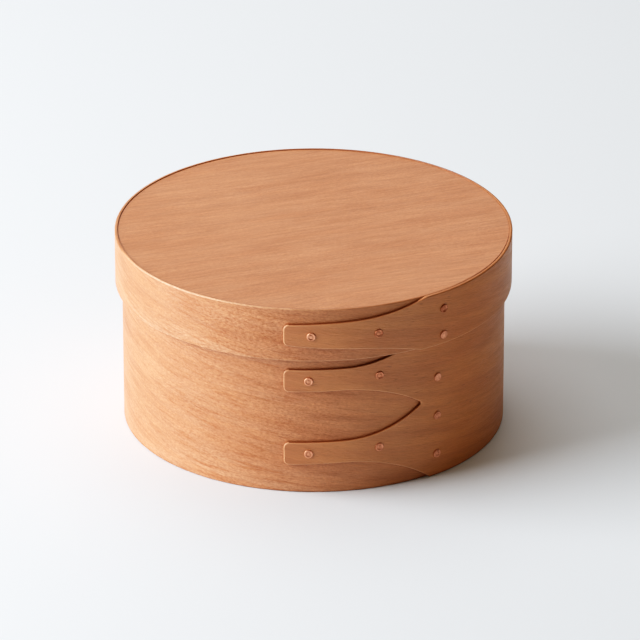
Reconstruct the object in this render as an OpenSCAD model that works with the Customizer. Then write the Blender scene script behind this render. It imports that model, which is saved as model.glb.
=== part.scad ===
// Round bentwood pantry box with a lift-off lid.
// Each band is one thin strip bent into a ring: its outer end is cut into fingers and tacked down over
// the feathered inner end, so the inside stays round. A board is let in flush at the bottom of the body
// and at the top of the lid. Angles run from the front (-Y) towards the right (+X).

/* [Body] */
// Outer radius of the body's band, away from the lap
body_r = 77.35; // [60:0.05:110]
// Height of the body's band
body_h = 76.1; // [60:0.1:105]
// Thickness of the strip that both bands are bent from
band_t = 1.2; // [0.8:0.05:2]
// Thickness of the bottom board
bottom_t = 5; // [3:0.5:10]

/* [Lid] */
// Depth of the lid's band
lid_h = 22.5; // [17:0.5:35]
// Thickness of the lid board, whose underside rests on the body's rim
lid_board_t = 5; // [3:0.5:8]
// Radial play between the lid's band and the body's lap
lid_play = 0.3; // [0.3:0.05:1]

/* [Laps] */
// Distance of all finger tips to the left of the middle, seen from the front
tips_left = 11.85; // [-40:0.05:40]
// Hairline between the two layers of a lap
lap_gap = 0.1; // [0.05:0.05:0.3]
// Turn over which the outer layer of a lap eases back to the ring
ease_turn = 44; // [30:1:70]
// Thickness that is left at the tip of the feathered inner end
feather_tip_t = 0.2; // [0.1:0.05:0.4]

/* [Body fingers] */
// Width of a body finger at its tip
finger_w = 9.8; // [8:0.1:13]
// Radius of the corners at the tip of every finger
finger_corner_r = 2.2; // [1:0.1:3]
// Height of the lower finger's centre line above the base, at its tip
lower_finger_z = 17.2; // [13:0.1:21]
// Angle by which the lower finger's centre line rises from its tip
lower_finger_tilt = 2.1; // [-3:0.1:3]
// Drop of the upper finger's centre line below the lid's lower edge, at its tip
upper_finger_drop = 9.5; // [7:0.1:12]
// Angle by which the upper finger's centre line rises from its tip
upper_finger_tilt = 1.3; // [-3:0.1:3]
// Angle by which each edge of a body finger spreads from the centre line
finger_spread = -0.4; // [-2:0.1:4]
// Distance from the tips to where the upper edges of the fingers begin to flare
flare_start = 24.5; // [16:0.5:30]
// Distance from the tips to where the lower edges of the fingers begin to flare
under_flare_start = 21; // [16:0.5:30]
// Radius of the flaring edges that meet in the crotch
flare_r = 61; // [55:1:90]
// Radius of the rounded bottom of the crotch
crotch_r = 1; // [0.5:0.1:2]

/* [Lid finger] */
// Width of the lid finger at its tip
lid_finger_w = 9; // [7:0.1:12]
// Height of the lid finger's centre line above the lid's lower edge, at its tip
lid_finger_z = 11.5; // [9:0.1:13]
// Angle by which the lid finger's centre line rises from its tip
lid_finger_tilt = -0.6; // [-3:0.1:3]
// Angle by which each edge of the lid finger spreads from the centre line
lid_finger_spread = 3; // [0:0.1:6]
// Distance from the tip to where the lid finger's edges begin to flare
lid_flare_start = 28; // [24:0.5:38]
// Radius of the lid finger's flaring edges
lid_flare_r = 125; // [60:1:180]

/* [Copper tacks] */
// Diameter of a tack's head
head_d = 3.5; // [3:0.1:4.2]
// Thickness of a tack's head
head_t = 0.6; // [0.5:0.05:0.9]
// Depth to which a head is sunk in the wood
head_sunk = 0.15; // [0.1:0.05:0.3]
// Easing of a head's rim
rim_ease = 0.2; // [0.1:0.05:0.3]
// Diameter of the shallow ring-shaped dish in a head
dish_d = 2.5; // [2:0.1:2.8]
// Depth of the dish
dish_depth = 0.15; // [0.05:0.01:0.2]
// Diameter of the nib left in the middle of the dish
nib_d = 1.3; // [0.8:0.1:1.6]
// Diameter of a tack's shank
shank_d = 1.5; // [1.2:0.1:1.8]
// Diameter of the clinched end, spread inside the band
clinch_d = 2.3; // [2:0.1:2.8]
// Depth of the clinched end
clinch_t = 0.45; // [0.3:0.05:0.6]
// Depth by which the clinched end stays below the wood
clinch_sunk = 0.05; // [0.03:0.01:0.1]
// Play between a tack and its hole
tack_play = 0.02; // [0.01:0.01:0.05]
// Distance of the first tack from the tip of a body finger
tip_tack_run = 10; // [6:0.5:13]
// Distance of the second tack from the tip of a body finger
mid_tack_run = 38.5; // [30:0.5:46]
// Distance of the tack row behind the crotch from the finger tips
row_run = 65; // [62:0.5:70]
// Height of the row's lowest tack above the base
row_low_z = 9.5; // [7:0.1:12]
// Drop of the row's highest tack below the lid's lower edge
row_high_drop = 15.4; // [12:0.1:19]
// Distance of the first tack from the tip of the lid finger
lid_tip_tack_run = 11; // [7:0.5:14]
// Distance of the second tack from the tip of the lid finger
lid_mid_tack_run = 38; // [30:0.5:46]
// Distance of the lid's tack row from the finger tip
lid_row_run = 67.5; // [62:0.5:70]
// Height of the lid row's lower tack above the lid's lower edge
lid_row_low_z = 4; // [3:0.1:5.5]
// Drop of the lid row's upper tack below the lid's top
lid_row_high_drop = 7.1; // [5.5:0.1:8]

/* [Boards] */
// Glue line between a board and the band round it
board_play = 0.1; // [0.05:0.05:0.3]

/* [Hidden] */
$fn = 128;
lap_step = band_t + lap_gap;
body_lap_r = body_r + lap_step;
body_inside_r = body_r - band_t;
lid_inside_r = body_lap_r + lid_play;
lid_r = lid_inside_r + band_t;
box_h = body_h + lid_board_t;
lid_z = box_h - lid_h;
upper_finger_z = lid_z - upper_finger_drop;
row_high_z = lid_z - row_high_drop;
// Wood that stays behind a tack row before the outer layer begins to ease back
row_margin = head_d;
// Overshoot of a cut past the face that it opens
spare = 2;
corner_steps = 4;
flare_steps = 10;
crotch_steps = 24;
wedge_step = 30;

// Farthest that the flares have to reach from the fingers' centre lines: the band's edges and the crotch
crotch_reach = (upper_finger_z - lower_finger_z) / 2;
under_reach = max(lower_finger_z, crotch_reach);
over_reach = max(body_h - upper_finger_z, crotch_reach);
under_lean = finger_spread - max(lower_finger_tilt, upper_finger_tilt);
over_lean = finger_spread + min(lower_finger_tilt, upper_finger_tilt);
body_flare_run = max(
    flare_end(under_lean, under_flare_start, flare_r, under_reach - finger_w / 2),
    flare_end(over_lean, flare_start, flare_r, over_reach - finger_w / 2)
);
lid_lean = lid_finger_spread - abs(lid_finger_tilt);
lid_reach = max(lid_h - lid_finger_z, lid_finger_z);
lid_flare_run = flare_end(lid_lean, lid_flare_start, lid_flare_r, lid_reach - lid_finger_w / 2);
// Length of a lap's outer layer, from the finger tips to where it begins to ease back
body_lap_run = max(body_flare_run, row_run + row_margin);
lid_lap_run = max(lid_flare_run, lid_row_run + row_margin);

// Run from the tip at which an edge that leans and then flares has moved out by rise
function flare_end(lean, start, radius, rise) =
    start + radius * (sin(acos(cos(lean) - (rise - start * tan(lean)) / radius)) - sin(lean));
function turn(run, radius) = run / radius * 180 / PI;
function point_at(angle, radius) = radius * [cos(angle), sin(angle)];
// Angle of the finger tips from the front, on a lap's outer face
function tip_angle(lap_r) = -asin(tips_left / lap_r);
// Height of a finger's centre line
function along(z, tilt, run) = z + run * tan(tilt);

// Tacks: node name, run from the finger tips, height
BODY_TACKS = [
    ["upper_finger_tip_tack", tip_tack_run, along(upper_finger_z, upper_finger_tilt, tip_tack_run)],
    ["upper_finger_mid_tack", mid_tack_run, along(upper_finger_z, upper_finger_tilt, mid_tack_run)],
    ["lower_finger_tip_tack", tip_tack_run, along(lower_finger_z, lower_finger_tilt, tip_tack_run)],
    ["lower_finger_mid_tack", mid_tack_run, along(lower_finger_z, lower_finger_tilt, mid_tack_run)],
    ["body_row_top_tack", row_run, row_high_z],
    ["body_row_middle_tack", row_run, (row_low_z + row_high_z) / 2],
    ["body_row_bottom_tack", row_run, row_low_z],
];
LID_TACKS = [
    ["lid_finger_tip_tack", lid_tip_tack_run, along(lid_z + lid_finger_z, lid_finger_tilt, lid_tip_tack_run)],
    ["lid_finger_mid_tack", lid_mid_tack_run, along(lid_z + lid_finger_z, lid_finger_tilt, lid_mid_tack_run)],
    ["lid_row_top_tack", lid_row_run, box_h - lid_row_high_drop],
    ["lid_row_bottom_tack", lid_row_run, lid_z + lid_row_low_z],
];

// Turns what is drawn with its front along +X so that it faces -Y
module facing_front() rotate([0, 0, -90]) children();

// Flat pie slice round the axis, from one angle to another
module wedge(from, to, reach) {
    steps = ceil((to - from) / wedge_step);
    polygon(concat([[0, 0]], [for (i = [0:steps]) point_at(from + (to - from) * i / steps, reach)]));
}

// Plan of the bent strip, with its outer end still uncut. From ease_from on, the outer layer eases back to
// the ring along an off-centre circle, and the inner end feathers out beneath it behind a hairline slit.
module strip_plan(r, ease_from) {
    lap_r = r + lap_step;
    ease_to = ease_from + ease_turn;
    shift = lap_step / (2 * sin(ease_turn / 2));
    ease_r = norm([(lap_r + r) / 2, shift * cos(ease_turn / 2)]);
    ease_centre = point_at((ease_from + ease_to) / 2 - 90, shift);
    feather_to = ease_to - ease_turn * (lap_gap + feather_tip_t) / lap_step;
    lap_from = tip_angle(lap_r) - turn(spare, lap_r);
    reach = 2 * lap_r;
    difference() {
        union() {
            circle(r);
            eased_disc(lap_r, ease_centre, ease_r, lap_from, ease_to + ease_turn, reach);
        }
        circle(r - band_t);
        difference() {
            eased_disc(lap_r - band_t, ease_centre, ease_r - band_t, lap_from - ease_turn, feather_to, reach);
            eased_disc(r, ease_centre, ease_r - lap_step, lap_from - 2 * ease_turn, ease_to, reach);
        }
        eased_disc(lap_r - band_t, ease_centre, ease_r - band_t, feather_to, ease_to + ease_turn, reach);
    }
}

// Slice of a disc, trimmed by the off-centre circle along which a lap eases back
module eased_disc(radius, ease_centre, ease_r, from, to, reach) {
    intersection() {
        circle(radius);
        translate(ease_centre) circle(ease_r);
        wedge(from, to, reach);
    }
}

// One edge of a finger, from the tip: run and half width along a round corner, a leaning line and a flare
function finger_edge(w, lean, start, radius, run) =
    let (last = asin((run - start) / radius + sin(lean)))
    concat(
        [for (i = [0:corner_steps])
            let (a = 90 * i / corner_steps)
            [finger_corner_r * (1 - cos(a)), w / 2 - finger_corner_r * (1 - sin(a))]],
        [for (i = [0:flare_steps])
            let (a = lean + (last - lean) * i / flare_steps, straight = w / 2 + start * tan(lean))
            [start + radius * (sin(a) - sin(lean)), straight + radius * (cos(lean) - cos(a))]]
    );

// Flat outline of a finger, as [run, height], from its upper and lower edge
function finger_outline(z, upper, lower) = concat(
    [for (p = upper) [p[0], z + p[1]]],
    [for (i = [len(lower) - 1:-1:0]) [lower[i][0], z - lower[i][1]]]
);
function body_finger(z, tilt, run) = finger_outline(
    z,
    finger_edge(finger_w, finger_spread + tilt, flare_start, flare_r, run),
    finger_edge(finger_w, finger_spread - tilt, under_flare_start, flare_r, run)
);
function lid_finger(z, tilt, run) = finger_outline(
    z,
    finger_edge(lid_finger_w, lid_finger_spread + tilt, lid_flare_start, lid_flare_r, run),
    finger_edge(lid_finger_w, lid_finger_spread - tilt, lid_flare_start, lid_flare_r, run)
);

// Fan of radial cuts through a lap: flat outlines wrapped round its outer face and joined by a round crotch
module radial_fan(outlines, lap_r, run) {
    middle = turn(run, lap_r) / 2;
    near = lap_r / 2;
    far = lap_r * 3 / 2;
    rotate([0, 0, tip_angle(lap_r) + middle]) rotate([90, 0, 90]) translate([0, 0, near])
        linear_extrude(height = far - near, scale = [far / near, 1], slices = 1)
            scale([near / lap_r, 1]) offset(r = -crotch_r, $fn = crotch_steps) offset(delta = crotch_r)
                for (outline = outlines)
                    polygon([for (p = outline) [lap_r * tan(turn(p[0], lap_r) - middle), p[1]]]);
}

// A band: the bent strip with its outer end cut to fingers and a stepped hole for each tack
module bent_band(r, z, h, run, outlines, tacks) {
    lap_r = r + lap_step;
    ease_from = tip_angle(lap_r) + turn(run, lap_r);
    difference() {
        translate([0, 0, z]) linear_extrude(h) strip_plan(r, ease_from);
        difference() {
            translate([0, 0, z - spare]) linear_extrude(h + 2 * spare) difference() {
                wedge(tip_angle(lap_r) - 2 * turn(spare, lap_r), ease_from, 2 * lap_r);
                circle(r + lap_gap / 2);
            }
            radial_fan(outlines, lap_r, run);
        }
        for (tack = tacks)
            on_lap(tack, r) rotate_extrude() polygon(tack_hole(r));
    }
}

// Stands a shape on the radius through a tack's place, with its own Z pointing outwards
module on_lap(tack, r) {
    lap_r = r + lap_step;
    rotate([0, 0, tip_angle(lap_r) + turn(tack[1], lap_r)])
        translate([0, 0, tack[2]]) rotate([0, 90, 0]) children();
}

// Distance from the axis of a tack's sunk tail and of the seat under its head
function tack_tail(r) = r - band_t + clinch_sunk;
function tack_seat(r) = r + lap_step - head_sunk;

// Half section of a tack: clinched end, shank, and a head with an eased rim, a ring-shaped dish and a nib
function tack_section(r) =
    let (tail = tack_tail(r), seat = tack_seat(r), crown = seat + head_t)
    [
        [0, tail],
        [clinch_d / 2, tail],
        [shank_d / 2, tail + clinch_t],
        [shank_d / 2, seat],
        [head_d / 2, seat],
        [head_d / 2, crown - rim_ease],
        [head_d / 2 - rim_ease, crown],
        [dish_d / 2, crown],
        [nib_d / 2, crown - dish_depth],
        [0, crown],
    ];

// Half section of the stepped hole that a tack sits in
function tack_hole(r) =
    let (tail = tack_tail(r), seat = tack_seat(r))
    [
        [0, tail - spare],
        [clinch_d / 2 + tack_play, tail - spare],
        [clinch_d / 2 + tack_play, tail],
        [shank_d / 2 + tack_play, tail + clinch_t],
        [shank_d / 2 + tack_play, seat],
        [head_d / 2 + tack_play, seat],
        [head_d / 2 + tack_play, seat + spare],
        [0, seat + spare],
    ];

module copper_tack(tack, r) {
    color("#b9694a") facing_front() on_lap(tack, r) rotate_extrude() polygon(tack_section(r));
}

module board(radius, z, thickness) {
    color("#b87d52") translate([0, 0, z]) cylinder(r = radius, h = thickness);
}

module body_band() {
    outlines = [
        body_finger(lower_finger_z, lower_finger_tilt, body_lap_run + spare),
        body_finger(upper_finger_z, upper_finger_tilt, body_lap_run + spare),
    ];
    color("#b5764b") facing_front() bent_band(body_r, 0, body_h, body_lap_run, outlines, BODY_TACKS);
}

module bottom_board() board(body_inside_r - board_play, 0, bottom_t);

module lid_band() {
    outlines = [lid_finger(lid_z + lid_finger_z, lid_finger_tilt, lid_lap_run + spare)];
    color("#b5764b") facing_front() bent_band(lid_r, lid_z, lid_h, lid_lap_run, outlines, LID_TACKS);
}

module lid_board() board(lid_inside_r - board_play, body_h, lid_board_t);

body_band();
bottom_board();
lid_band();
lid_board();
for (tack = BODY_TACKS) copper_tack(tack, body_r);
for (tack = LID_TACKS) copper_tack(tack, lid_r);
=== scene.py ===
"""Round bentwood pantry box: two bent cherry bands with finger laps, two boards and copper tacks.

Each band is cut as a flat blank with its fingers, eased along its edges and then bent round,
so the grain runs along the strip and the fingers lie on the layer beneath them.
"""

import math

import bmesh
import bpy
from bpy.props import FloatProperty, FloatVectorProperty, IntProperty, PointerProperty
from mathutils import Matrix, Vector


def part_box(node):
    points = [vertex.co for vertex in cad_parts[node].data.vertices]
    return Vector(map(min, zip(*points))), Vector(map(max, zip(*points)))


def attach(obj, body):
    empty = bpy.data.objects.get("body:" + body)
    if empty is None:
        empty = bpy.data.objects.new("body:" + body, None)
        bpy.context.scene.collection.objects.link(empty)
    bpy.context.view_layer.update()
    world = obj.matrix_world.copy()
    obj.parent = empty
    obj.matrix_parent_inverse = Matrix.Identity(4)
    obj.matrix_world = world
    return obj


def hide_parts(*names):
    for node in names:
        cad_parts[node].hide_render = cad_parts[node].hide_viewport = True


bl_info = {
    "name": "Bentwood Pantry Box",
    "version": (1, 0, 0),
    "blender": (4, 5, 0),
    "location": "View3D > Sidebar > Pantry Box",
    "description": "Builds the bands, boards and copper tacks of a round bentwood box",
    "category": "Add Mesh",
}

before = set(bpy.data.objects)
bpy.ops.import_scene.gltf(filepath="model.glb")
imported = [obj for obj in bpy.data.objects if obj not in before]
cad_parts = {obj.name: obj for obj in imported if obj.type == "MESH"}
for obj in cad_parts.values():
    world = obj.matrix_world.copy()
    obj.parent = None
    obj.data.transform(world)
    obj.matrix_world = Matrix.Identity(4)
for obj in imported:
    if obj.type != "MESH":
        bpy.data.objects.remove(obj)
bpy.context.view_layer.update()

# Mesh layers that the materials read.
STRIP_UV = "strip"
WEAR = "edge_wear"
# Layer of the painted shade along the upper edges of the fingers.
LEDGE_SHADE = "painted_shade"
CUT = "cut_edge"
FIGURE = "figure"
DEPTH = "depth"
# Layer of the painted shade tint on a strip's shaded right-hand stretch.
SHADE_SIDE = "shaded_side_tint"

# How finely curves are drawn, and the limits by which edges are told apart and merged.
FLARE_STEPS = 24
CROTCH_TRIES = 40
TIP_STEPS = 6
ROUND_STEPS = 3
SHORT_EDGE = 0.0002
SAME_PLACE = 1e-6
ON_PLANE = 1e-7
LEVEL_PARTS = 10.0
SHARP_ANGLE = math.pi / 4.0
NORMAL_WEIGHT = 90

# Cut edges of a strip: which faces they are and how dark the oil leaves them, with the painted shade
# along the fingers' upper edges and the rim's painted shade and painted highlight.
UPWARD = 0.3
SAWN = 0.1
CUT_TONE = 0.6
# Strength of the painted shade on the fingers' upward cut edges.
LEDGE_SHADE_STRENGTH = 0.8
TIP_TONE = 0.35
TIP_RUN = 0.022
RIM_CUT = 0.3
# Extra darkening of the rim on its right and back: painted shade.
RIM_PAINTED_SHADE = 0.55
# How strongly the rim's front-left stretch takes painted highlight.
RIM_HIGHLIGHT = 1.8
FULL_WEAR = 1.0
NO_WEAR = 0.0

# Stretches of a strip as shares of its run: where a tone starts, is full, fades and ends.
# Painted shade: the stretch of the rim on the right and back, which is darkened.
RIM_PAINTED_SHADE_RUN = (0.25, 0.32, 0.42, 0.52)
# Painted highlight: the stretch of the rim on the front-left, which is lightened.
RIM_HIGHLIGHT_RUN = (0.66, 0.70, 0.76, 0.88)
FIGURED_RUN = (0.58, 0.74, 0.81, 0.885)
# Painted shade: the shaded right-hand stretch, tinted deeper and redder.
SHADE_SIDE_RUN = (0.08, 0.13, 0.16, 0.42)
BOARD_FIGURE = 0.5

# Noise: repeats per metre along and across the grain, detail and roughness.
WANDER_NOISE = ((9.0, 30.0, 30.0), 2.0, 0.5)
STREAK_NOISE = ((62.0, 720.0, 720.0), 3.0, 0.6)
DASH_NOISE = ((800.0, 1500.0, 1500.0), 2.0, 0.6)
FIBRE_NOISE = ((330.0, 2000.0, 2000.0), 2.0, 0.6)
RIPPLE_NOISE = ((900.0, 260.0, 260.0), 2.0, 0.5)
CURL_NOISE = ((14.0, 26.0, 26.0), 1.0, 0.5)
PATCH_NOISE = ((20.0, 95.0, 95.0), 3.0, 0.5)
BAND_NOISE = ((22.0, 180.0, 180.0), 3.0, 0.5)
FLECK_NOISE = ((240.0, 1500.0, 1500.0), 1.0, 0.5)
CLOUD_NOISE = ((900.0, 900.0, 900.0), 4.0, 0.5)
SCRATCH_NOISE = ((6000.0, 1500.0, 4000.0), 2.0, 0.5)
PAPER_NOISE = ((3.0, 3.0, 3.0), 3.0, 0.5)
NOISE_LOW = 0.25
NOISE_HIGH = 0.75
WANDER_REACH = (0.0, 0.006, 0.006)
GROWTH_STRETCH = (0.12, 1.0, 1.0)

# Stains of the wood: the values between which a colour comes in, and its largest share.
SAP_STAIN = (0.85, 1.08, 0.85)
VEIN_STAIN = (0.53, 0.66, 0.9)
GROWTH_STAIN = (0.3, 1.0, 0.45)
PATCH_STAIN = (0.40, 0.66, 0.5)
DASH_STAIN = (0.56, 0.74, 0.08)
FLECK_STAIN = (0.70, 0.80, 0.4)
SAP_RAGGED = 0.3

# Ranges: a value from low to high, and what it is spread over.
CURL_RANGE = (0.40, 0.60, 0.65, 1.0)
WORN_RANGE = (0.3, 0.7, 0.3, 0.6)
# Occlusion values over which the painted nook shade comes in, and how far wear keeps it off.
NOOK_RANGE = (0.35, 0.8, 0.45, 0.0)
NOOK_WEAR_RANGE = (0.0, 1.0, 1.0, 0.2)
LIVELY_RANGE = (0.0, 0.5, 0.5, 1.0)
WOOD_ROUGHNESS = (0.3, 0.7, 0.38, 0.48)
COPPER_ROUGHNESS = (0.3, 0.7, 0.28, 0.42)
TARNISH_RANGE = (0.35, 0.7, 0.05, 0.45)
FLOOR_ROUGHNESS = (0.3, 0.7, 0.60, 0.70)

# How far each pattern lightens and darkens the wood, tints it or raises it.
BAND_TONE = 0.06
FIBRE_TONE = 0.06
STREAK_TONE = 0.13
PATCH_TONE = 0.06
RIPPLE_TONE = 0.04
DASH_SHADE = (0.78, 0.66, 0.57, 1.0)
DASH_GLINT = (1.22, 1.34, 1.43, 1.0)
# Painted shade tint: deeper and redder on the shaded side.
SHADE_SIDE_TINT = (1.0, 0.87, 0.60, 1.0)
NO_TINT = (1.0, 1.0, 1.0, 1.0)
RIPPLE_RELIEF = 0.03
DASH_RELIEF = 0.2
LEAST_RELIEF = 0.4
BOLD_RELIEF = 0.6
GRAIN_HEIGHT = 0.0002
# Reach and samples of the ambient occlusion that paints shade into nooks and under edges.
NOOK_REACH = 0.002
NOOK_SAMPLES = 8

# Copper: how dull hollows get, and the marks of the hammer.
DISH_WEAR = 0.6
WEAR_TARNISH = 0.6
COPPER_METALLIC = 0.8
SCRATCH_RELIEF = 0.2
SCRATCH_HEIGHT = 0.00008
CLINCH_SHOULDER = (0.8, 0.7)
DISH_FLOOR = 0.85
NIB_FOOT = 1.4
NIB_SHOULDER = 0.7
NIB_DROP = 0.25

# Floor, lights and film: where each light stands and how wide it is, in metres.
FLOOR_GLOSS = 0.2
WINDOW_PLACE = (-1.38, -0.195, 0.695)
WINDOW_WIDTH = 1.29
TOP_PLACE = (-0.2, 0.8, 2.0)
TOP_WIDTH = 2.0
BACK_PLACE = (-0.4, 2.1, 0.9)
BACK_WIDTH = 1.7
LIGHT_AIM = (0.0, 0.0, 0.04)
SURROUND_TINT = (1.0, 0.81, 0.54, 1.0)
FILM_CURVE = 3
FILM_POINTS = (0.015, 0.04, 0.08, 0.15, 0.25, 0.4, 0.6, 0.8)

# Sockets of a colour mix node.
MIX_FACTOR = 0
MIX_FIRST = 6
MIX_SECOND = 7
MIX_RESULT = 2

# Tacks: how tarnished a head is all over, and how much of its hollow is left.
DARK_TACKS = {
    "upper_finger_mid_tack": 0.75,
    "lower_finger_mid_tack": 0.45,
    "lid_finger_mid_tack": 0.75,
    "lid_row_top_tack": 0.95,
    "body_row_middle_tack": 0.45,
    "body_row_bottom_tack": 0.3,
    "lid_row_bottom_tack": 0.32,
    "body_row_top_tack": 0.32,
}
FLAT_TACKS = {
    "lid_row_bottom_tack": 0.2,
    "body_row_top_tack": 0.35,
}
BODY_TACKS = [
    "upper_finger_tip_tack",
    "upper_finger_mid_tack",
    "lower_finger_tip_tack",
    "lower_finger_mid_tack",
    "body_row_top_tack",
    "body_row_middle_tack",
    "body_row_bottom_tack",
]
LID_TACKS = [
    "lid_finger_tip_tack",
    "lid_finger_mid_tack",
    "lid_row_top_tack",
    "lid_row_bottom_tack",
]


def length(name, description, default):
    """A length in metres that a user may change."""
    return FloatProperty(
        name=name,
        description=description,
        default=default,
        min=0.0,
        precision=5,
        unit="LENGTH",
        subtype="DISTANCE",
    )


def angle(name, description, degrees):
    """An angle that a user may change, given in degrees."""
    return FloatProperty(
        name=name,
        description=description,
        default=math.radians(degrees),
        unit="ROTATION",
        subtype="ANGLE",
    )


def colour(name, description, default):
    """A surface colour that a user may change, in linear light."""
    return FloatVectorProperty(
        name=name,
        description=description,
        default=default,
        size=3,
        min=0.0,
        max=1.0,
        subtype="COLOR",
    )


def share(name, description, default):
    """A plain number from nothing to one."""
    return FloatProperty(
        name=name,
        description=description,
        default=default,
        min=0.0,
        max=1.0,
        subtype="FACTOR",
    )


def power(name, description, default):
    """The power of a light, in watts."""
    return FloatProperty(name=name, description=description, default=default, unit="POWER")


def point(name, description, default):
    """A place in metres."""
    return FloatVectorProperty(name=name, description=description, default=default, subtype="XYZ")


class StripSizes(bpy.types.PropertyGroup):
    """Sizes that both bent strips share."""

    tips_left: length("Finger tips", "How far left of the middle the finger tips lie", 0.01185)
    lap_gap: length("Lap gap", "Glue line between the two layers of the lap", 0.0001)
    ease_turn: angle("Ease", "Turn over which the outer layer comes down to the ring", 44.0)
    feather_tip: length("Feather tip", "Thickness of the inner layer at its end", 0.0002)
    outer_round: length("Outer edge rounding", "Rounding of the edges that are handled", 0.0005)
    inner_round: length("Inner edge rounding", "Rounding of the edges inside the box", 0.00015)
    rim_round: length("Rim rounding", "Rounding of the rim's inner edge", 0.00015)
    slice_run: length("Slice", "Length of strip between two bends of the mesh", 0.0015)


class BodyLapSizes(bpy.types.PropertyGroup):
    """The two fingers of the body band."""

    finger_width: length("Finger width", "Width of a finger at its tip", 0.0098)
    corner_radius: length("Tip corners", "Radius of the corners of a finger tip", 0.0022)
    spread: angle("Spread", "How each finger edge spreads from the middle line", -0.4)
    flare_start: length("Flare start", "Run from the tip to the flare of an upper edge", 0.0245)
    under_start: length("Under flare start", "Run from the tip to the flare of a lower edge", 0.021)
    flare_radius: length("Flare radius", "Radius of the flare between the fingers", 0.061)
    crotch_radius: length("Crotch", "Radius of the rounded crotch between the fingers", 0.001)
    lap_run: length("Lap run", "Run from the tips to where the lap starts to ease", 0.0702)
    lower_finger: length("Lower finger", "Height of the lower finger's middle at its tip", 0.0172)
    lower_tilt: angle("Lower tilt", "How the lower finger rises from its tip", 2.1)
    upper_finger: length("Upper finger", "Height of the upper finger's middle at its tip", 0.0491)
    upper_tilt: angle("Upper tilt", "How the upper finger rises from its tip", 1.3)


class LidLapSizes(bpy.types.PropertyGroup):
    """The single finger of the lid band."""

    finger_width: length("Finger width", "Width of the finger at its tip", 0.009)
    corner_radius: length("Tip corners", "Radius of the corners of the finger tip", 0.0022)
    spread: angle("Spread", "How each finger edge spreads from the middle line", 3.0)
    flare_start: length("Flare start", "Run from the tip to the flare of the upper edge", 0.028)
    under_start: length("Under flare start", "Run from the tip to the flare of the lower edge", 0.028)
    flare_radius: length("Flare radius", "Radius of the flare above and below the finger", 0.125)
    lap_run: length("Lap run", "Run from the tip to where the lap starts to ease", 0.071)
    finger: length("Finger", "Height of the finger's middle above the lid's lower edge", 0.0115)
    tilt: angle("Tilt", "How the finger rises from its tip", -0.6)


class BoardSizes(bpy.types.PropertyGroup):
    """The round boards of the bottom and the lid."""

    rim_round: length("Rim rounding", "Rounding of a board's edges", 0.0001)
    lid_sink: length("Lid sink", "How far the lid's board lies below the rim", 0.0003)
    rim_sides: IntProperty(name="Rim sides", description="Sides of the round rim", default=240, min=48)


class TackSizes(bpy.types.PropertyGroup):
    """One copper tack, driven through the lap and turned over inside."""

    head_diameter: length("Head", "Diameter of the head", 0.0035)
    head_proud: length("Head proud", "How far the head stands out of the wood", 0.00045)
    head_sunk: length("Head sunk", "How far the head is driven into the wood", 0.00015)
    rim_round: length("Rim rounding", "Rounding of the head's rim", 0.0003)
    dish_diameter: length("Dish", "Diameter of the hollow that the hammer leaves", 0.0025)
    dish_depth: length("Dish depth", "Depth of the hollow", 0.00018)
    nib_diameter: length("Nib", "Diameter of the raised middle of the hollow", 0.0011)
    shank_diameter: length("Shank", "Diameter of the shank", 0.0015)
    clinch_diameter: length("Clinch", "Diameter of the tail turned over inside", 0.0023)
    clinch_proud: length("Clinch proud", "How far the turned tail stands out inside", 0.0004)
    sides: IntProperty(name="Sides", description="Sides of the round head", default=40, min=12)


class CherryFinish(bpy.types.PropertyGroup):
    """Oiled cherry, as bent strip and as board."""

    # Plain wood lies on the shaded fingers and right-hand side, light wood on the lit left-front figured
    # stretch; their difference is partly painted light, pinker where lit, more golden in shade.
    plain: colour("Plain wood", "Golden wood of a strip's plain stretches", (0.600, 0.262, 0.112))
    light: colour("Light wood", "Pale wood of a strip's figured stretch", (0.560, 0.251, 0.130))
    sap: colour("Sapwood", "Paler wood along the lower edge of a strip", (0.600, 0.292, 0.163))
    board: colour("Board wood", "Pale wood of the boards", (0.524, 0.224, 0.110))
    dark: colour("Dark wood", "Late wood along the growth lines", (0.530, 0.216, 0.094))
    red: colour("Red wood", "Redder patches", (0.525, 0.196, 0.080))
    dash: colour("Dash", "Short reddish dashes along the grain", (0.400, 0.128, 0.044))
    cut: colour("Cut edge", "Edges of the strips, which drink more oil", (0.32, 0.113, 0.055))
    fleck: colour("Fleck", "Small gum flecks", (0.20, 0.060, 0.022))
    # Lightens the handled outer edges: partly wear, partly painted highlight lines.
    worn_and_highlit: colour("Worn edge", "Edges polished by hands", (0.76, 0.42, 0.25))
    # Colour of the painted shade along the fingers' upper edges and in the nooks.
    painted_shade: colour("Crevice", "Oil and dust along the upper edges of the fingers", (0.215, 0.047, 0.005))
    gloss: share("Gloss", "Strength of the oiled wood's reflections", 0.62)
    strip_boldness: share("Strip grain", "Strength of the grain on the strips", 1.0)
    board_boldness: share("Board grain", "Strength of the grain on the boards", 0.35)
    body_start: length("Body grain start", "Where along the veneer the body band was cut", 0.88)
    lid_start: length("Lid grain start", "Where along the veneer the lid band was cut", 2.88)
    board_start: length("Board grain start", "Where in the plank the boards were cut", 0.99)
    strip_turn: angle("Strip grain turn", "How the strips' grain falls along the strip", 8.0)
    board_turn: angle("Board grain turn", "How the boards' grain is turned from left to right", 20.0)


class CopperFinish(bpy.types.PropertyGroup):
    """Copper, lightly dulled."""

    bright: colour("Bright copper", "Rubbed copper", (0.97, 0.49, 0.32))
    dull: colour("Dull copper", "Tarnished copper in the hollows", (0.34, 0.10, 0.038))


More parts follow.
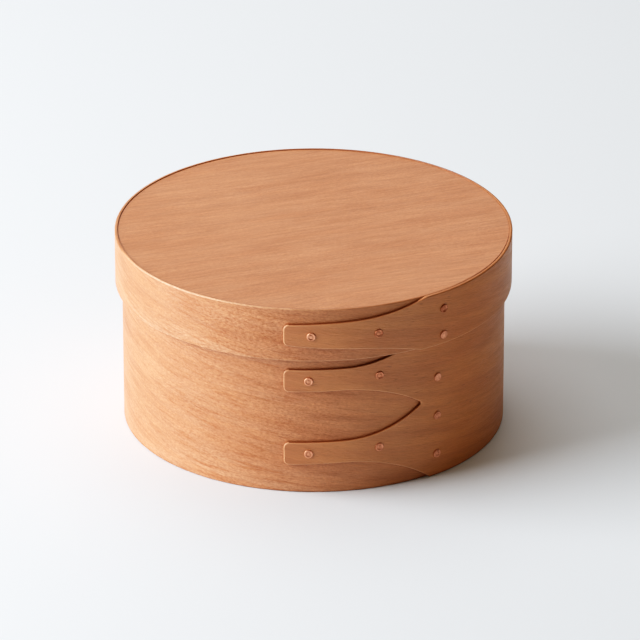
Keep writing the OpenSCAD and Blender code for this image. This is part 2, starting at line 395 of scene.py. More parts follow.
class StageSettings(bpy.types.PropertyGroup):
    """Camera, floor and light."""

    lens: FloatProperty(
        name="Lens",
        description="Focal length of the camera",
        default=335.8,
        unit="CAMERA",
    )
    camera_from: point("Camera", "Where the camera stands", (0.0026, -2.197, 1.0586))
    camera_at: point("Camera aim", "What the camera points at", (0.0026, 0.0, 0.0395))
    floor: colour("Floor", "Pale floor", (0.812, 0.876, 0.955))
    floor_width: length("Floor width", "Width of the floor", 24.0)
    window_power: power("Window", "Power of the window light", 36.1)
    top_power: power("Top light", "Power of the light overhead", 13.0)
    back_power: power("Back light", "Power of the light behind", 5.5)
    surround: share("Surround", "Brightness of the plain surround", 0.146)
    film_contrast: FloatProperty(
        name="Film contrast",
        description="Steepness of the film's response",
        default=1.58,
    )
    film_middle: share("Film middle", "Light that the film shows half bright", 0.56)


class PantryBoxSettings(bpy.types.PropertyGroup):
    """Everything that a user may change."""

    strip: PointerProperty(type=StripSizes)
    body_lap: PointerProperty(type=BodyLapSizes)
    lid_lap: PointerProperty(type=LidLapSizes)
    boards: PointerProperty(type=BoardSizes)
    tacks: PointerProperty(type=TackSizes)
    cherry: PointerProperty(type=CherryFinish)
    copper: PointerProperty(type=CopperFinish)
    stage: PointerProperty(type=StageSettings)


def add_node(tree, kind, inputs=None, **settings):
    """Add a node: sockets given as values are linked, plain values are set."""
    node = tree.nodes.new(kind)
    for name, value in settings.items():
        setattr(node, name, value)
    for name, value in (inputs or {}).items():
        if isinstance(value, bpy.types.NodeSocket):
            tree.links.new(value, node.inputs[name])
        else:
            node.inputs[name].default_value = value
    return node


def opaque(rgb):
    """A colour with full alpha."""
    return (*rgb, 1.0)


def noise(tree, place, kind, output="Fac"):
    """Noise stretched by a scale for each axis."""
    scale, detail, roughness = kind
    mapped = add_node(tree, "ShaderNodeMapping", {"Vector": place, "Scale": scale})
    texture = add_node(
        tree,
        "ShaderNodeTexNoise",
        {
            "Vector": mapped.outputs["Vector"],
            "Scale": 1.0,
            "Detail": detail,
            "Roughness": roughness,
        },
    )
    return texture.outputs[output]


def spread(tree, value, low, high, to_low, to_high):
    """Stretch a value's useful range over another one."""
    node = add_node(
        tree,
        "ShaderNodeMapRange",
        {
            "Value": value,
            "From Min": low,
            "From Max": high,
            "To Min": to_low,
            "To Max": to_high,
        },
    )
    return node.outputs["Result"]


def stain(tree, value, kind, boldness=1.0):
    """How much of a stain there is at a value."""
    low, high, most = kind
    return spread(tree, value, low, high, 0.0, most * boldness)


def swing(tree, value, way):
    """A noise value as a swing from minus one to one, or the other way round."""
    return spread(tree, value, NOISE_LOW, NOISE_HIGH, -way, way)


def around_one(tree, value, amount, low=-1.0, high=1.0):
    """A multiplier that follows a value to either side of one."""
    return spread(tree, value, low, high, 1.0 - amount, 1.0 + amount)


def mix(tree, factor, first, second):
    """Blend two colours."""
    node = add_node(tree, "ShaderNodeMix", data_type="RGBA")
    for index, value in ((MIX_FACTOR, factor), (MIX_FIRST, first), (MIX_SECOND, second)):
        if isinstance(value, bpy.types.NodeSocket):
            tree.links.new(value, node.inputs[index])
        else:
            node.inputs[index].default_value = value
    return node.outputs[MIX_RESULT]


def product(tree, first, second):
    """Multiply two values."""
    node = add_node(tree, "ShaderNodeMath", {0: first, 1: second}, operation="MULTIPLY")
    return node.outputs[0]


def weighted(tree, value, weight, added):
    """A value times a weight, with another value added."""
    inputs = {0: value, 1: weight, 2: added}
    return add_node(tree, "ShaderNodeMath", inputs, operation="MULTIPLY_ADD").outputs[0]


def tinted(tree, wood, tint):
    """A colour multiplied by a tint."""
    node = add_node(tree, "ShaderNodeVectorMath", {0: wood, 1: tint}, operation="MULTIPLY")
    return node.outputs["Vector"]


def layer(tree, name):
    """A layer of the mesh as a value."""
    return add_node(tree, "ShaderNodeAttribute", attribute_name=name).outputs["Fac"]


def new_material(name):
    """A material with an empty surface shader, as (material, tree, shader)."""
    material = bpy.data.materials.new(name)
    material.use_nodes = True
    tree = material.node_tree
    shader = tree.nodes["Principled BSDF"]
    return material, tree, shader


def strip_grain(tree, finish):
    """Grain that follows the bent strip, falling a little along it."""
    place = add_node(tree, "ShaderNodeUVMap", uv_map=STRIP_UV).outputs["UV"]
    turned = {"Vector": place, "Rotation": (0.0, 0.0, finish.strip_turn)}
    return add_node(tree, "ShaderNodeMapping", turned).outputs["Vector"]


def board_grain(tree, finish):
    """Straight grain across a board."""
    place = add_node(tree, "ShaderNodeTexCoord").outputs["Object"]
    turned = {
        "Vector": place,
        "Location": (0.0, finish.board_start, 0.0),
        "Rotation": (0.0, 0.0, -finish.board_turn),
    }
    return add_node(tree, "ShaderNodeMapping", turned).outputs["Vector"]


def growth_lines(tree, grain):
    """Growth lines that rise slowly to late wood and end sharply, drawn out along the grain."""
    drawn = add_node(tree, "ShaderNodeMapping", {"Vector": grain, "Scale": GROWTH_STRETCH})
    lines = add_node(
        tree,
        "ShaderNodeTexWave",
        {
            "Vector": drawn.outputs["Vector"],
            "Scale": 42.0,
            "Distortion": 5.0,
            "Detail": 3.0,
            "Detail Scale": 1.5,
            "Detail Roughness": 0.6,
        },
        wave_type="BANDS",
        bands_direction="Y",
        wave_profile="SAW",
    )
    return lines.outputs["Fac"]


def wood_patterns(tree, grain):
    """The patterns of the wood by name, drawn out along the grain, and the layers they follow."""
    wander = noise(tree, grain, WANDER_NOISE, "Color")
    wavy = add_node(
        tree,
        "ShaderNodeVectorMath",
        {0: wander, 1: WANDER_REACH, 2: grain},
        operation="MULTIPLY_ADD",
    ).outputs["Vector"]
    figured = layer(tree, FIGURE)
    curl = spread(tree, noise(tree, grain, CURL_NOISE), *CURL_RANGE)
    return {
        "growth": growth_lines(tree, wavy),
        "streak": noise(tree, wavy, STREAK_NOISE),
        "dash": noise(tree, wavy, DASH_NOISE),
        "fibre": noise(tree, wavy, FIBRE_NOISE),
        "patch": noise(tree, wavy, PATCH_NOISE),
        "band": noise(tree, wavy, BAND_NOISE),
        "fleck": noise(tree, wavy, FLECK_NOISE),
        "ripple": noise(tree, grain, RIPPLE_NOISE),
        "figured": figured,
        "curled": product(tree, curl, figured),
    }


def stained_wood(tree, pattern, finish, plain, light, boldness):
    """The wood's colours: sapwood, veins, growth lines, patches, dashes and flecks."""
    figured = pattern["figured"]
    ragged = weighted(tree, pattern["patch"], SAP_RAGGED, layer(tree, DEPTH))
    sap = product(tree, stain(tree, ragged, SAP_STAIN), figured)
    vein = product(tree, stain(tree, pattern["streak"], VEIN_STAIN, boldness), figured)
    growth = stain(tree, pattern["growth"], GROWTH_STAIN, boldness)
    patch = stain(tree, pattern["patch"], PATCH_STAIN)
    dash = stain(tree, pattern["dash"], DASH_STAIN, boldness)
    fleck = stain(tree, pattern["fleck"], FLECK_STAIN, boldness)

    # The lit figured stretch takes the paler, pinker wood: partly figure, partly painted light.
    wood = mix(tree, figured, opaque(plain), opaque(light))
    wood = mix(tree, sap, wood, opaque(finish.sap))
    wood = mix(tree, vein, wood, opaque(finish.red))
    wood = mix(tree, growth, wood, opaque(finish.dark))
    wood = mix(tree, patch, wood, opaque(finish.red))
    wood = mix(tree, dash, wood, opaque(finish.dash))
    return mix(tree, fleck, wood, opaque(finish.fleck))


def used_wood(tree, wood, pattern, finish):
    """The wood with its oiled cut edges, its edges lightened by wear and painted highlight, and painted
    shade along the finger tops and in its nooks.
    """
    wear = layer(tree, WEAR)
    worn_and_highlit = product(tree, wear, spread(tree, pattern["patch"], *WORN_RANGE))
    nook = add_node(
        tree,
        "ShaderNodeAmbientOcclusion",
        {"Distance": NOOK_REACH},
        samples=NOOK_SAMPLES,
    )
    # Painted shade: ambient occlusion darkens nooks and the wood under edges, less on edges that take
    # wear.
    nook_shade = product(
        tree,
        spread(tree, nook.outputs["AO"], *NOOK_RANGE),
        spread(tree, wear, *NOOK_WEAR_RANGE),
    )
    wood = mix(tree, layer(tree, CUT), wood, opaque(finish.cut))
    # Edges lightened by wear and by painted highlight.
    wood = mix(tree, worn_and_highlit, wood, opaque(finish.worn_and_highlit))
    # Painted shade along the upper edges of the fingers.
    wood = mix(tree, layer(tree, LEDGE_SHADE), wood, opaque(finish.painted_shade))
    # Painted shade in the nooks.
    return mix(tree, nook_shade, wood, opaque(finish.painted_shade))


def cherry_material(name, lay_grain, plain, light, boldness):
    """Oiled cherry, with its figure, a deeper, redder painted shade tint on a strip's shaded side, and a
    fine relief along the grain.
    """
    finish = bpy.context.scene.pantry_box.cherry
    material, tree, shader = new_material(name)
    pattern = wood_patterns(tree, lay_grain(tree, finish))
    wood = stained_wood(tree, pattern, finish, plain, light, boldness)
    wood = used_wood(tree, wood, pattern, finish)

    rippled = product(tree, swing(tree, pattern["ripple"], 1.0), pattern["curled"])
    dashed = product(tree, swing(tree, pattern["dash"], -1.0), pattern["curled"])
    lively = spread(tree, pattern["figured"], *LIVELY_RANGE)
    streaky = product(tree, swing(tree, pattern["streak"], -1.0), lively)
    patchy = product(tree, swing(tree, pattern["patch"], -1.0), lively)
    tone = around_one(tree, pattern["band"], BAND_TONE, NOISE_LOW, NOISE_HIGH)
    fibrous = around_one(tree, pattern["fibre"], FIBRE_TONE, NOISE_LOW, NOISE_HIGH)
    tone = product(tree, tone, fibrous)
    tone = product(tree, tone, around_one(tree, streaky, STREAK_TONE))
    tone = product(tree, tone, around_one(tree, patchy, PATCH_TONE))
    tone = product(tree, tone, around_one(tree, rippled, RIPPLE_TONE))
    glint = mix(tree, spread(tree, dashed, -1.0, 1.0, 0.0, 1.0), DASH_SHADE, DASH_GLINT)
    wood = tinted(tree, wood, glint)
    # Painted shade: deeper, redder wood on the shaded right-hand stretch.
    wood = tinted(tree, wood, mix(tree, layer(tree, SHADE_SIDE), NO_TINT, SHADE_SIDE_TINT))
    toned = add_node(
        tree,
        "ShaderNodeVectorMath",
        {"Vector": wood, "Scale": tone},
        operation="SCALE",
    )
    tree.links.new(toned.outputs["Vector"], shader.inputs["Base Color"])

    roughness = spread(tree, pattern["streak"], *WOOD_ROUGHNESS)
    tree.links.new(roughness, shader.inputs["Roughness"])
    relief = weighted(tree, rippled, RIPPLE_RELIEF, pattern["fibre"])
    relief = weighted(tree, dashed, DASH_RELIEF, relief)
    bump = add_node(
        tree,
        "ShaderNodeBump",
        {
            "Height": relief,
            "Strength": LEAST_RELIEF + BOLD_RELIEF * boldness,
            "Distance": GRAIN_HEIGHT,
        },
    )
    tree.links.new(bump.outputs["Normal"], shader.inputs["Normal"])
    shader.inputs["Specular IOR Level"].default_value = finish.gloss
    return material


def strip_material(name):
    """Oiled cherry of the bent strips."""
    cherry = bpy.context.scene.pantry_box.cherry
    return cherry_material(name, strip_grain, cherry.plain, cherry.light, cherry.strip_boldness)


def board_material(name):
    """Oiled cherry of the boards."""
    cherry = bpy.context.scene.pantry_box.cherry
    return cherry_material(name, board_grain, cherry.board, cherry.board, cherry.board_boldness)


def copper_material(name):
    """Copper, bright where it is rubbed and dull in the hollows."""
    finish = bpy.context.scene.pantry_box.copper
    material, tree, shader = new_material(name)
    place = add_node(tree, "ShaderNodeTexCoord").outputs["Object"]
    cloud = noise(tree, place, CLOUD_NOISE)
    scratch = noise(tree, place, SCRATCH_NOISE)
    tarnish = spread(tree, cloud, *TARNISH_RANGE)
    tarnish = weighted(tree, layer(tree, WEAR), WEAR_TARNISH, tarnish)
    metal = mix(tree, tarnish, opaque(finish.bright), opaque(finish.dull))
    tree.links.new(metal, shader.inputs["Base Color"])
    tree.links.new(spread(tree, cloud, *COPPER_ROUGHNESS), shader.inputs["Roughness"])
    bump = add_node(
        tree,
        "ShaderNodeBump",
        {"Height": scratch, "Strength": SCRATCH_RELIEF, "Distance": SCRATCH_HEIGHT},
    )
    tree.links.new(bump.outputs["Normal"], shader.inputs["Normal"])
    shader.inputs["Metallic"].default_value = COPPER_METALLIC
    return material


def shared_material(name, maker):
    """The material of that name, made the first time it is asked for."""
    return bpy.data.materials.get(name) or maker(name)


def finish_piece(bm, name, material, body, node):
    """Turn a bmesh into a smooth piece that rides on its body and stands for its node."""
    bmesh.ops.recalc_face_normals(bm, faces=bm.faces[:])
    for face in bm.faces:
        face.smooth = True
    mesh = bpy.data.meshes.new(name)
    bm.to_mesh(mesh)
    bm.free()
    mesh.materials.append(material)
    piece = bpy.data.objects.new(name, mesh)
    bpy.context.scene.collection.objects.link(piece)
    smooth = piece.modifiers.new("Even shading", "WEIGHTED_NORMAL")
    smooth.mode = "FACE_AREA"
    smooth.weight = NORMAL_WEIGHT
    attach(piece, body)
    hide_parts(node)
    return piece


class BentStrip:
    """A strip that goes once round and laps over its own start."""

    def __init__(self, node, sizes, lap_run):
        low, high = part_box(node)
        self.base = low.z
        self.height = high.z - low.z
        self.ring_radius = min(-low.x, high.x, high.y)
        self.lap_radius = -low.y
        self.step = self.lap_radius - self.ring_radius
        self.gap = sizes.lap_gap
        self.thickness = self.step - self.gap
        self.tip_angle = -math.asin(sizes.tips_left / self.lap_radius)
        self.ease_turn = sizes.ease_turn
        self.ease_end = self.tip_angle + lap_run / self.lap_radius + self.ease_turn
        feather_share = (sizes.feather_tip + self.gap) / self.step
        self.end_angle = math.tau + self.ease_end - self.ease_turn * feather_share
        self.run = (self.end_angle - self.tip_angle) * self.lap_radius

    def lift(self, turned):
        """How far the outer layer stands off the ring at an angle from the front."""
        return self.step * min(1.0, max(0.0, (self.ease_end - turned) / self.ease_turn))

    def place(self, flat):
        """Bend a point of the flat blank: run, height and depth from the outer face."""
        turned = self.tip_angle + flat.x / self.lap_radius
        room = min(self.thickness, self.lift(turned - math.tau) - self.gap)
        if turned < math.pi:
            room = self.thickness
        inside = self.ring_radius - self.thickness + self.lift(turned)
        radius = inside + room * (1.0 + flat.z / self.thickness)
        return Vector((radius * math.sin(turned), -radius * math.cos(turned), self.base + flat.y))


def last_vert(made):
    """The vertex at which a spin ended."""
    return [item for item in made["geom_last"] if isinstance(item, bmesh.types.BMVert)][0]


def finger_edge(bm, lap, middle, tilt, side, stop):
    """One edge of a finger, from its tip along its flare to a stop height, as its end vertices."""
    lean = lap.spread + side * tilt
    flare_start = lap.flare_start if side > 0.0 else lap.under_start
    tip = bm.verts.new((0.0, middle + side * lap.finger_width / 2.0, 0.0))
    start = bm.verts.new((flare_start, tip.co.y + side * flare_start * math.tan(lean), 0.0))
    bm.edges.new((tip, start))
    across = Vector((-math.sin(lean), side * math.cos(lean), 0.0))
    left = side * (stop - start.co.y) / lap.flare_radius
    turn = math.acos(math.cos(lean) - left) - lean
    flare = bmesh.ops.spin(
        bm,
        geom=[start],
        cent=start.co + across * lap.flare_radius,
        axis=(0.0, 0.0, side),
        angle=turn,
        steps=FLARE_STEPS,
    )
    return tip, last_vert(flare)


def edge_run(lap, middle, tilt, side, stop):
    """Run from the tip at which a finger's edge reaches a height."""
    lean = lap.spread + side * tilt
    flare_start = lap.flare_start if side > 0.0 else lap.under_start
    straight = middle + side * (lap.finger_width / 2.0 + flare_start * math.tan(lean))
    left = side * (stop - straight) / lap.flare_radius
    leant = math.acos(math.cos(lean) - left)
    return flare_start + lap.flare_radius * (math.sin(leant) - math.sin(lean))


def crotch_height(lap, lower, upper):
    """Height at which the flares of two neighbouring fingers meet."""
    low, high = lower[0], upper[0]
    for _ in range(CROTCH_TRIES):
        height = (low + high) / 2.0
        if edge_run(lap, *lower, 1.0, height) < edge_run(lap, *upper, -1.0, height):
            low = height
        else:
            high = height
    return height


def round_corners(bm, corners, radius):
    """Round corners of a flat outline to a radius."""
    for corner in corners:
        sides = [edge.other_vert(corner).co - corner.co for edge in corner.link_edges]
        bmesh.ops.bevel(
            bm,
            geom=[corner],
            offset=radius / math.tan(sides[0].angle(sides[1]) / 2.0),
            offset_type="OFFSET",
            segments=TIP_STEPS,
            profile=0.5,
            affect="VERTICES",
            material=-1,
        )


def cut_blank(strip, lap, fingers):
    """The flat blank of a strip: fingers at one end, square at the other."""
    bm = bmesh.new()
    neighbours = zip(fingers, fingers[1:])
    crotches = [crotch_height(lap, lower, upper) for lower, upper in neighbours]
    stops = [0.0, *crotches, strip.height]
    tips = []
    ends = []
    for index, (middle, tilt) in enumerate(fingers):
        low_tip, low_end = finger_edge(bm, lap, middle, tilt, -1.0, stops[index])
        high_tip, high_end = finger_edge(bm, lap, middle, tilt, 1.0, stops[index + 1])
        bm.edges.new((low_tip, high_tip))
        tips += [low_tip, high_tip]
        ends += [low_end, high_end]
    apexes = ends[1:-1:2]
    for apex, other in zip(apexes, ends[2::2]):
        bmesh.ops.pointmerge(bm, verts=[apex, other], merge_co=(apex.co + other.co) / 2.0)
    low_corner = bm.verts.new((strip.run, 0.0, 0.0))
    high_corner = bm.verts.new((strip.run, strip.height, 0.0))
    bm.edges.new((ends[0], low_corner))
    bm.edges.new((low_corner, high_corner))
    bm.edges.new((high_corner, ends[-1]))
    bmesh.ops.edgeloop_fill(bm, edges=bm.edges[:])
    round_corners(bm, tips, lap.corner_radius)
    if apexes:
        round_corners(bm, apexes, lap.crotch_radius)
    bmesh.ops.remove_doubles(bm, verts=bm.verts[:], dist=SHORT_EDGE)
    return bm


def thicken(bm, depth):
    """Give a flat face its thickness below it."""
    made = bmesh.ops.extrude_face_region(bm, geom=bm.faces[:])
    moved = [item for item in made["geom"] if isinstance(item, bmesh.types.BMVert)]
    bmesh.ops.translate(bm, verts=moved, vec=(0.0, 0.0, -depth))
    bmesh.ops.recalc_face_normals(bm, faces=bm.faces[:])


def ease_edges(bm, level, amount, wear, worn_and_highlit, above=-1.0):
    """Round the sharp edges at one level that lie above a height, and mark their share of wear and
    painted highlight.
    """
    slack = amount / LEVEL_PARTS
    edges = [
        edge
        for edge in bm.edges
        if all(abs(vert.co.z - level) < slack and vert.co.y > above for vert in edge.verts)
        and edge.calc_face_angle(0.0) > SHARP_ANGLE
    ]
    made = bmesh.ops.bevel(
        bm,
        geom=edges,
        offset=amount,
        offset_type="OFFSET",
        segments=ROUND_STEPS,
        profile=0.5,
        affect="EDGES",
        clamp_overlap=True,
        material=-1,
    )
    for face in made["faces"]:
        for loop in face.loops:
            loop[wear] = worn_and_highlit


def rise_and_fall(value, start, full, fade, end):
    """A share that rises from a start to full and falls from a fade to an end."""
    return max(0.0, min(1.0, (value - start) / (full - start), (end - value) / (end - fade)))


def mark_cut_edges(bm, strip, lap, depth, foot_wear):
    """Mark the strip's cut edges, the painted shade along the tops of the fingers, and the rim's painted
    highlight and painted shade.
    """
    painted_shade = bm.loops.layers.float.new(LEDGE_SHADE)
    cut = bm.loops.layers.float.new(CUT)
    wear = bm.loops.layers.float[WEAR]
    for face in bm.faces:
        middle = face.calc_center_median()
        below_rim = middle.y < strip.height - strip.thickness
        upward = face.normal.y > UPWARD and middle.x > lap.corner_radius
        sawn = abs(face.normal.z) < SAWN
        for loop in face.loops:
            tip = TIP_TONE * max(0.0, 1.0 - loop.vert.co.x / TIP_RUN)
            # Painted shade on the fingers' upward cut edges, growing from the outer face inwards; oiled
            # holds its strength.
            oiled = LEDGE_SHADE_STRENGTH * min(1.0, -loop.vert.co.z / depth)
            loop[painted_shade] = oiled if below_rim and upward else 0.0
            if below_rim:
                loop[cut] = CUT_TONE if sawn else tip
                loop[wear] *= foot_wear if middle.y < depth else 1.0
            else:
                along = loop.vert.co.x / strip.run
                # Painted highlight on the rim's front-left stretch.
                worn_and_highlit = rise_and_fall(along, *RIM_HIGHLIGHT_RUN)
                # The rim's oiled cut tone plus painted shade on its right and back.
                dark = RIM_CUT + RIM_PAINTED_SHADE * rise_and_fall(along, *RIM_PAINTED_SHADE_RUN)
                loop[cut] = dark * (1.0 - worn_and_highlit * loop[wear])
                loop[wear] *= RIM_HIGHLIGHT * worn_and_highlit


def slice_blank(bm, strip, slice_run):
    """Slice the eased blank so that it can bend."""
    count = math.ceil(strip.run / slice_run)
    for index in range(1, count):
        everything = bm.verts[:] + bm.edges[:] + bm.faces[:]
        bmesh.ops.bisect_plane(
            bm,
            geom=everything,
            dist=ON_PLANE,
            plane_co=(index * strip.run / count, 0.0, 0.0),
            plane_no=(1.0, 0.0, 0.0),
        )


def bend_band(bm, strip, grain_start):
    """Lay the grain out on the sliced blank and bend it round."""
    grain = bm.loops.layers.uv.new(STRIP_UV)
    figure = bm.loops.layers.float.new(FIGURE)
    depth = bm.loops.layers.float.new(DEPTH)
    shade_side = bm.loops.layers.float.new(SHADE_SIDE)
    for face in bm.faces:
        for loop in face.loops:
            place = loop.vert.co
            along = place.x / strip.run
            outside = place.z > -strip.thickness / 2.0
            loop[depth] = 1.0 - place.y / strip.height
            loop[grain].uv = (grain_start + place.x, place.y - place.z)
            loop[figure] = rise_and_fall(along, *FIGURED_RUN)
            # Painted shade tint on the outer face of the shaded right-hand stretch.
            loop[shade_side] = rise_and_fall(along, *SHADE_SIDE_RUN) if outside else 0.0
    for vert in bm.verts:
        vert.co = strip.place(vert.co)


def make_band(node, body, lap, fingers, grain_start, foot_wear):
    """A bent band with its finger lap."""
    sizes = bpy.context.scene.pantry_box.strip
    strip = BentStrip(node, sizes, lap.lap_run)
    bm = cut_blank(strip, lap, fingers)
    wear = bm.loops.layers.float.new(WEAR)
    thicken(bm, strip.thickness)
    inside = -strip.thickness
    # Outer edges take wear and painted highlight; the inner edges and rim take none.
    ease_edges(bm, 0.0, sizes.outer_round, wear, FULL_WEAR)
    ease_edges(bm, inside, sizes.rim_round, wear, NO_WEAR, strip.height - SHORT_EDGE)
    ease_edges(bm, inside, sizes.inner_round, wear, NO_WEAR)
    slice_blank(bm, strip, sizes.slice_run)
    mark_cut_edges(bm, strip, lap, sizes.outer_round, foot_wear)
    bend_band(bm, strip, grain_start)
    wood = shared_material("oiled_cherry_strip", strip_material)
    return finish_piece(bm, "cherry_" + node, wood, body, node)


def make_board(node, body, sink):
    """A round board with eased rims, its upper face sunk by a given depth."""
    sizes = bpy.context.scene.pantry_box.boards
    low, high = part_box(node)
    bm = bmesh.new()
    wear = bm.loops.layers.float.new(WEAR)
    bmesh.ops.create_circle(bm, cap_ends=True, radius=high.x, segments=sizes.rim_sides)
    thickness = high.z - low.z - sink
    thicken(bm, thickness)
    for level in (0.0, -thickness):
        ease_edges(bm, level, sizes.rim_round, wear, NO_WEAR)
    bmesh.ops.translate(bm, verts=bm.verts[:], vec=(0.0, 0.0, high.z - sink))
    figure = bm.loops.layers.float.new(FIGURE)
    for face in bm.faces:
        for loop in face.loops:
            loop[figure] = BOARD_FIGURE
    wood = shared_material("oiled_cherry_board", board_material)
    return finish_piece(bm, "cherry_" + node, wood, body, node)


def arc(bm, start, centre, turn, steps):
    """Draw an arc on from a vertex in the tack's section, and return its last vertex."""
    made = bmesh.ops.spin(
        bm,
        geom=[start],
        cent=centre,
        axis=(0.0, -1.0, 0.0),
        angle=turn,
        steps=steps,
    )
    return last_vert(made)


def tack_section(bm, sizes, grip, dish_depth):
    """Half the section of a tack, from the turned tail up to the middle of its head."""
    shank = sizes.shank_diameter / 2.0
    clinch = sizes.clinch_diameter / 2.0
    head = sizes.head_diameter / 2.0
    dish = sizes.dish_diameter / 2.0
    nib = sizes.nib_diameter / 2.0
    floor = sizes.head_proud - dish_depth
    shoulder, shoulder_proud = CLINCH_SHOULDER
    corners = [
        (0.0, -grip - sizes.clinch_proud),
        (clinch * shoulder, -grip - sizes.clinch_proud * shoulder_proud),
        (clinch, -grip),
        (shank, -grip),
        (shank, -sizes.head_sunk),
        (head - sizes.rim_round, -sizes.head_sunk),
        (head, 0.0),
        (head, sizes.head_proud - sizes.rim_round),
    ]
    verts = [bm.verts.new((radius, 0.0, height)) for radius, height in corners]
    for first, second in zip(verts, verts[1:]):
        bm.edges.new((first, second))
    centre = (head - sizes.rim_round, 0.0, sizes.head_proud - sizes.rim_round)
    crown = arc(bm, verts[-1], centre, math.pi / 2.0, TIP_STEPS)
    hollow = [
        (dish, sizes.head_proud),
        (dish * DISH_FLOOR, floor),
        (nib * NIB_FOOT, floor),
        (nib * NIB_SHOULDER, sizes.head_proud - dish_depth * NIB_DROP),
        (0.0, sizes.head_proud),
    ]
    for radius, height in hollow:
        vert = bm.verts.new((radius, 0.0, height))
        bm.edges.new((crown, vert))
        crown = vert


def tack_place(node, lap_radius):
    """Where a tack goes: its middle on the lap's outer face, pointing outwards."""
    points = [vert.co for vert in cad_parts[node].data.vertices]
    middle = sum(points, Vector()) / len(points)
    outwards = Vector((middle.x, middle.y, 0.0)).normalized()
    turn = outwards.to_track_quat("Z", "Y").to_matrix().to_4x4()
    return Matrix.Translation(outwards * lap_radius + Vector((0.0, 0.0, middle.z))) @ turn


def make_tack(node, body, strip):
    """One copper tack."""
    sizes = bpy.context.scene.pantry_box.tacks
    bm = bmesh.new()
    wear = bm.loops.layers.float.new(WEAR)
    flat = FLAT_TACKS.get(node, 1.0)
    dish_depth = sizes.dish_depth * flat
    tack_section(bm, sizes, strip.step + strip.thickness, dish_depth)
    bmesh.ops.spin(
        bm,
        geom=bm.verts[:] + bm.edges[:],
        cent=(0.0, 0.0, 0.0),
        axis=(0.0, 0.0, 1.0),
        angle=math.tau,
        steps=sizes.sides,
        use_merge=True,
    )
    bmesh.ops.remove_doubles(bm, verts=bm.verts[:], dist=SAME_PLACE)
    dish = sizes.dish_diameter / 2.0
    half_deep = sizes.head_proud - dish_depth / 2.0
    for face in bm.faces:
        middle = face.calc_center_median()
        hollow = middle.z > 0.0 and math.hypot(middle.x, middle.y) < dish
        for loop in face.loops:
            deep = hollow and loop.vert.co.z < half_deep
            loop[wear] = max(DARK_TACKS.get(node, 0.0), DISH_WEAR * flat if deep else 0.0)
    bmesh.ops.transform(bm, matrix=tack_place(node, strip.lap_radius), verts=bm.verts[:])
    copper = shared_material("dulled_copper", copper_material)
    return finish_piece(bm, "copper_" + node, copper, body, node)


class PANTRYBOX_OT_body_band(bpy.types.Operator):
    """Build the body band with its two fingers"""

    bl_idname = "pantry_box.body_band"
    bl_label = "Body Band"

    def execute(self, context):
        settings = context.scene.pantry_box
        lap = settings.body_lap
        fingers = [(lap.lower_finger, lap.lower_tilt), (lap.upper_finger, lap.upper_tilt)]
        make_band("body_band", "box", lap, fingers, settings.cherry.body_start, NO_WEAR)
        return {"FINISHED"}


class PANTRYBOX_OT_lid_band(bpy.types.Operator):
    """Build the lid band with its finger"""

    bl_idname = "pantry_box.lid_band"
    bl_label = "Lid Band"

    def execute(self, context):
        settings = context.scene.pantry_box
        lap = settings.lid_lap
        fingers = [(lap.finger, lap.tilt)]
        make_band("lid_band", "lid", lap, fingers, settings.cherry.lid_start, FULL_WEAR)
        return {"FINISHED"}


class PANTRYBOX_OT_boards(bpy.types.Operator):
    """Build the bottom board and the lid board"""

    bl_idname = "pantry_box.boards"
    bl_label = "Boards"

    def execute(self, context):
        make_board("bottom_board", "box", 0.0)
        make_board("lid_board", "lid", context.scene.pantry_box.boards.lid_sink)
        return {"FINISHED"}


class PANTRYBOX_OT_tacks(bpy.types.Operator):
    """Drive the copper tacks through both laps"""

    bl_idname = "pantry_box.tacks"
    bl_label = "Copper Tacks"

    def execute(self, context):
        settings = context.scene.pantry_box
        body_strip = BentStrip("body_band", settings.strip, settings.body_lap.lap_run)
        lid_strip = BentStrip("lid_band", settings.strip, settings.lid_lap.lap_run)
        for node in BODY_TACKS:
            make_tack(node, "box", body_strip)
        for node in LID_TACKS:
            make_tack(node, "lid", lid_strip)
        return {"FINISHED"}


def area_light(name, place, width, watts):
    """A soft square light that points at the box."""
    light = bpy.data.lights.new(name, "AREA")
    light.shape = "SQUARE"
    light.size = width
    light.energy = watts
    lamp = bpy.data.objects.new(name, light)
    lamp.location = place
    sight = Vector(LIGHT_AIM) - Vector(place)
    lamp.rotation_euler = sight.to_track_quat("-Z", "Y").to_euler()
    lamp.visible_camera = False
    bpy.context.scene.collection.objects.link(lamp)


def floor_material(tint):
    """Smooth pale paper."""
    material, tree, shader = new_material("pale_floor")
    place = add_node(tree, "ShaderNodeTexCoord").outputs["Object"]
    cloud = noise(tree, place, PAPER_NOISE)
    tree.links.new(spread(tree, cloud, *FLOOR_ROUGHNESS), shader.inputs["Roughness"])
    shader.inputs["Base Color"].default_value = opaque(tint)
    shader.inputs["Specular IOR Level"].default_value = FLOOR_GLOSS
    return material


def film_response(view, contrast, middle):
    """Show light as film does: deep darks, and brights that ease off to white."""
    view.view_transform = "Standard"
    view.use_curve_mapping = True
    response = view.curve_mapping.curves[FILM_CURVE]
    half = middle**contrast
    for light in FILM_POINTS:
        bright = light**contrast
        response.points.new(light, bright / (bright + half) * (1.0 + half))
    view.curve_mapping.update()


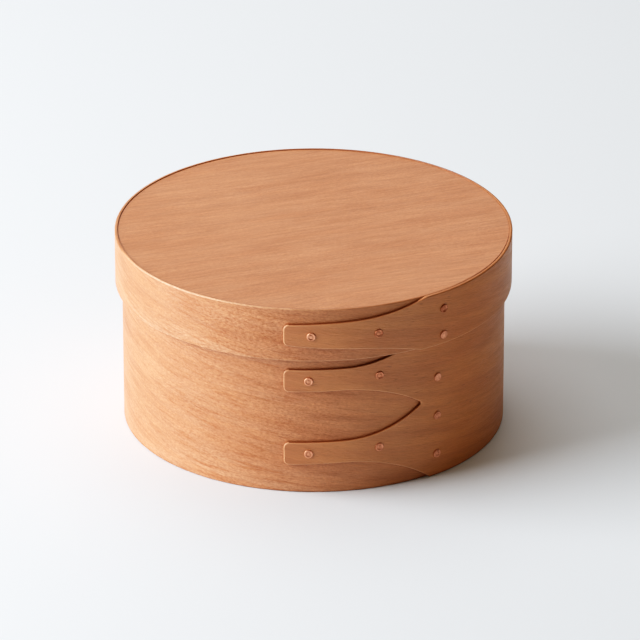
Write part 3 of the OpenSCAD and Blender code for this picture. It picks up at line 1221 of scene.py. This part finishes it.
class PANTRYBOX_OT_stage(bpy.types.Operator):
    """Set the floor, the lights and the camera"""

    bl_idname = "pantry_box.stage"
    bl_label = "Stage"

    def execute(self, context):
        scene = context.scene
        stage = scene.pantry_box.stage
        bm = bmesh.new()
        bmesh.ops.create_grid(bm, x_segments=1, y_segments=1, size=stage.floor_width / 2.0)
        mesh = bpy.data.meshes.new("floor")
        bm.to_mesh(mesh)
        bm.free()
        mesh.materials.append(floor_material(stage.floor))
        floor = bpy.data.objects.new("floor", mesh)
        scene.collection.objects.link(floor)

        area_light("window", WINDOW_PLACE, WINDOW_WIDTH, stage.window_power)
        area_light("top", TOP_PLACE, TOP_WIDTH, stage.top_power)
        area_light("back", BACK_PLACE, BACK_WIDTH, stage.back_power)

        world = bpy.data.worlds.new("surround")
        world.use_nodes = True
        background = world.node_tree.nodes["Background"]
        background.inputs["Color"].default_value = SURROUND_TINT
        background.inputs["Strength"].default_value = stage.surround
        scene.world = world
        film_response(scene.view_settings, stage.film_contrast, stage.film_middle)

        lens = bpy.data.cameras.new("camera")
        lens.lens = stage.lens
        camera = bpy.data.objects.new("camera", lens)
        camera.location = stage.camera_from
        sight = Vector(stage.camera_at) - Vector(stage.camera_from)
        camera.rotation_euler = sight.to_track_quat("-Z", "Y").to_euler()
        scene.collection.objects.link(camera)
        scene.camera = camera
        return {"FINISHED"}


class PANTRYBOX_PT_sidebar(bpy.types.Panel):
    """Builds the box piece by piece"""

    bl_label = "Pantry Box"
    bl_space_type = "VIEW_3D"
    bl_region_type = "UI"
    bl_category = "Pantry Box"

    def draw(self, context):
        for operator in OPERATORS:
            self.layout.operator(operator.bl_idname)


OPERATORS = (
    PANTRYBOX_OT_stage,
    PANTRYBOX_OT_body_band,
    PANTRYBOX_OT_lid_band,
    PANTRYBOX_OT_boards,
    PANTRYBOX_OT_tacks,
)
CLASSES = (
    StripSizes,
    BodyLapSizes,
    LidLapSizes,
    BoardSizes,
    TackSizes,
    CherryFinish,
    CopperFinish,
    StageSettings,
    PantryBoxSettings,
    *OPERATORS,
    PANTRYBOX_PT_sidebar,
)


def register():
    for item in CLASSES:
        bpy.utils.register_class(item)
    bpy.types.Scene.pantry_box = PointerProperty(type=PantryBoxSettings)


def unregister():
    del bpy.types.Scene.pantry_box
    for item in reversed(CLASSES):
        bpy.utils.unregister_class(item)


def main():
    """Build everything."""
    register()
    bpy.ops.pantry_box.stage()
    bpy.ops.pantry_box.body_band()
    bpy.ops.pantry_box.lid_band()
    bpy.ops.pantry_box.boards()
    bpy.ops.pantry_box.tacks()


if __name__ == "__main__":
    main()
